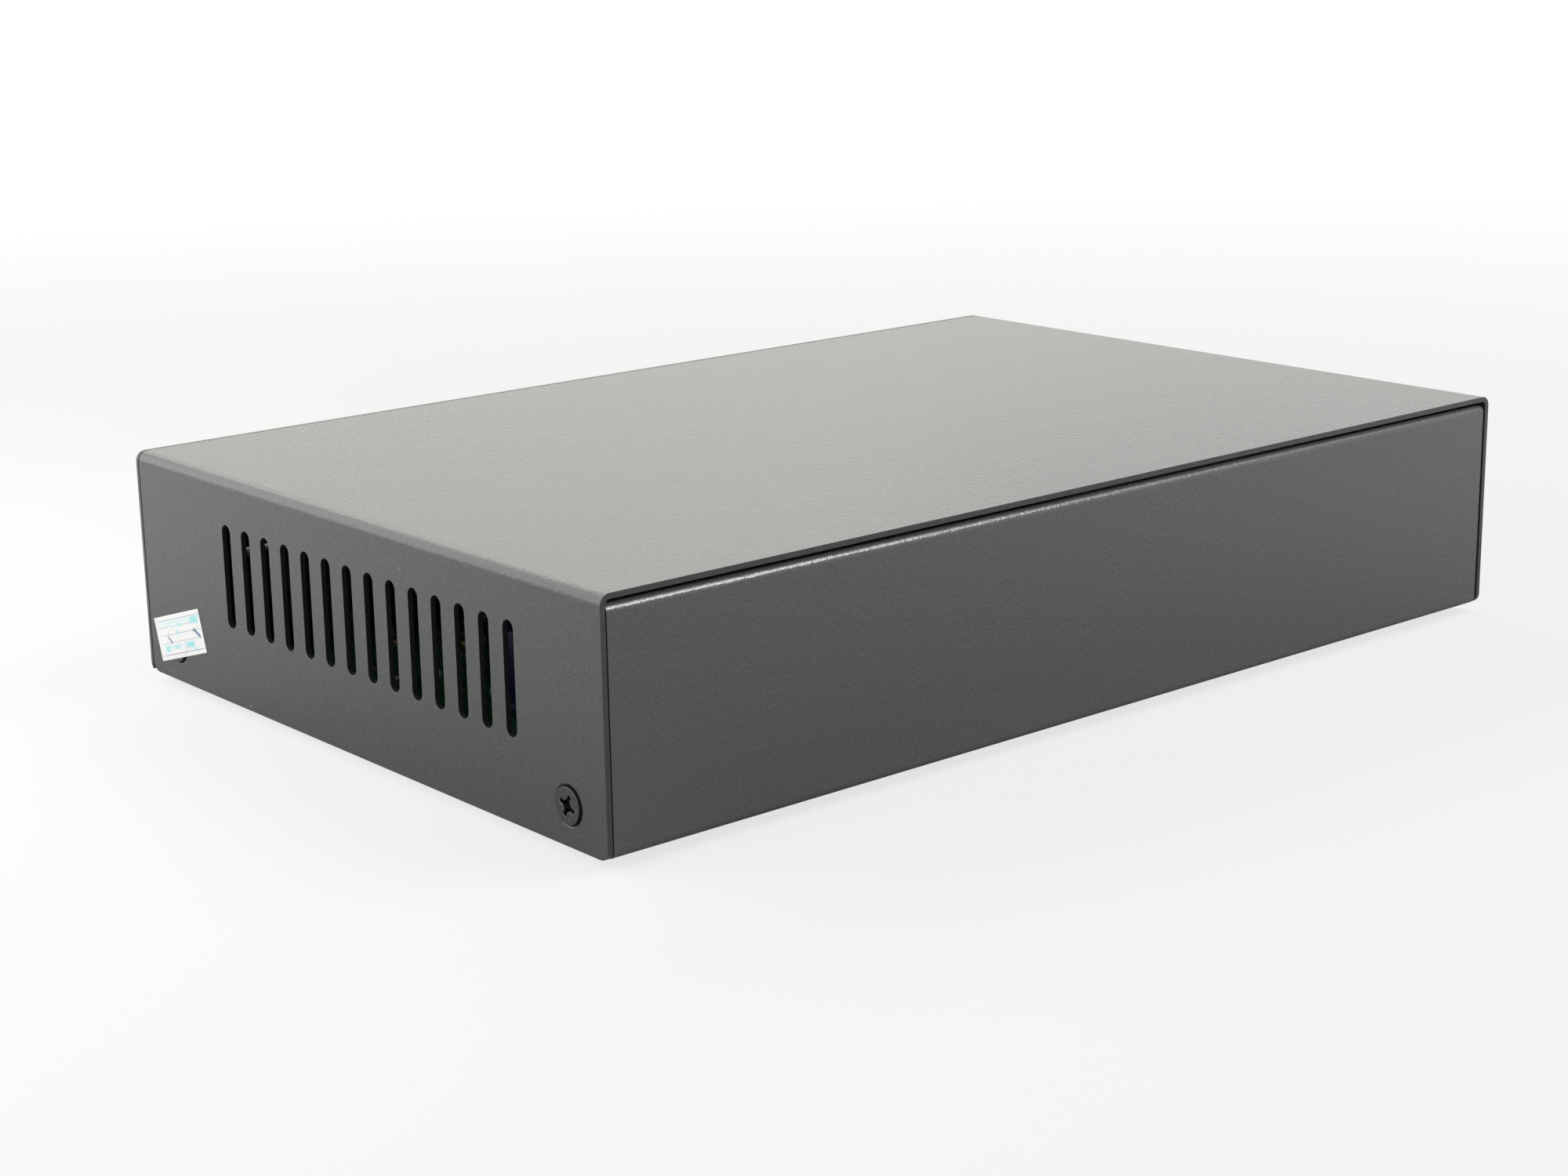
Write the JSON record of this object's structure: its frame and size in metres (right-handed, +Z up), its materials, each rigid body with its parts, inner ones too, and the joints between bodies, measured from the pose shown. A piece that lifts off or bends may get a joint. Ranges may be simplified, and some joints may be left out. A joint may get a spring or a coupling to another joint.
{
  "type": "poe switch",
  "caption": "Desktop PoE network switch in a folded steel case: slotted sides, bare rear panel, shielded RJ45 sockets and a low-voltage inlet on the face plate.",
  "frame": {"origin": "middle of the case in plan, on the surface that the feet stand on", "axes": "+X to the right seen from the socket side, +Y to the bare rear panel, +Z up"},
  "size_m": [0.2289, 0.15, 0.046],
  "materials": {
    "powder_coat": "dark grey fine-textured powder coat on folded steel",
    "black_screw": "black oxide steel",
    "seal_paper": "white coated paper with pale cyan ruled fields",
    "foot_rubber": "black moulded rubber",
    "zinc_plate": "bright zinc plated steel",
    "board_laminate": "green solder mask on glass epoxy",
    "socket_plastic": "black moulded plastic",
    "socket_shield": "nickel plated sheet",
    "contact_gold": "gold plated spring wire",
    "clear_lens": "clear moulded acrylic",
    "nickel_pin": "nickel plated brass",
    "chip_epoxy": "black moulding compound",
    "sink_aluminium": "black anodised extrusion",
    "gap_pad": "grey silicone pad",
    "magnetics_case": "black moulded case",
    "can_sleeve": "dark blue sleeve on an aluminium can",
    "coil_ferrite": "grey ferrite",
    "crystal_can": "drawn nickel silver can",
    "led_package": "white lamp package"
  },
  "bodies": {
    "root": {"top_cover": "powder_coat", "base_tray": "powder_coat", "cover_screws": "black_screw", "warranty_seal": "seal_paper", "front_left_foot": "foot_rubber", "front_right_foot": "foot_rubber", "rear_left_foot": "foot_rubber", "rear_right_foot": "foot_rubber", "pcb_standoffs": "zinc_plate", "pcb_screws": "zinc_plate", "main_board": "board_laminate", "power_socket_body": "socket_plastic", "power_socket_pin": "nickel_pin", "power_socket_leaf": "nickel_pin", "power_light_pipe": "clear_lens", "activity_light_pipe": "clear_lens", "power_led": "led_package", "activity_led": "led_package", "switch_chip": "chip_epoxy", "thermal_pad": "gap_pad", "heat_sink": "sink_aluminium", "left_poe_controller": "chip_epoxy", "right_poe_controller": "chip_epoxy", "core_supply_coil": "coil_ferrite", "port_supply_coil": "coil_ferrite", "voltage_regulator": "chip_epoxy", "flash_chip": "chip_epoxy", "crystal": "crystal_can", "magnetics_1": "magnetics_case", "magnetics_2": "magnetics_case", "magnetics_3": "magnetics_case", "magnetics_4": "magnetics_case", "magnetics_5": "magnetics_case", "bulk_capacitor_1": "can_sleeve", "bulk_capacitor_2": "can_sleeve", "bulk_capacitor_3": "can_sleeve", "input_capacitor_1": "can_sleeve", "input_capacitor_2": "can_sleeve", "left_ports_housing": "socket_plastic", "left_ports_shield": "socket_shield", "left_ports_wires": "contact_gold", "left_ports_lenses": "clear_lens", "right_ports_housing": "socket_plastic", "right_ports_shield": "socket_shield", "right_ports_wires": "contact_gold", "right_ports_lenses": "clear_lens", "uplink_ports_housing": "socket_plastic", "uplink_ports_shield": "socket_shield", "uplink_ports_wires": "contact_gold", "uplink_ports_lenses": "clear_lens"}
  },
  "joints": []
}
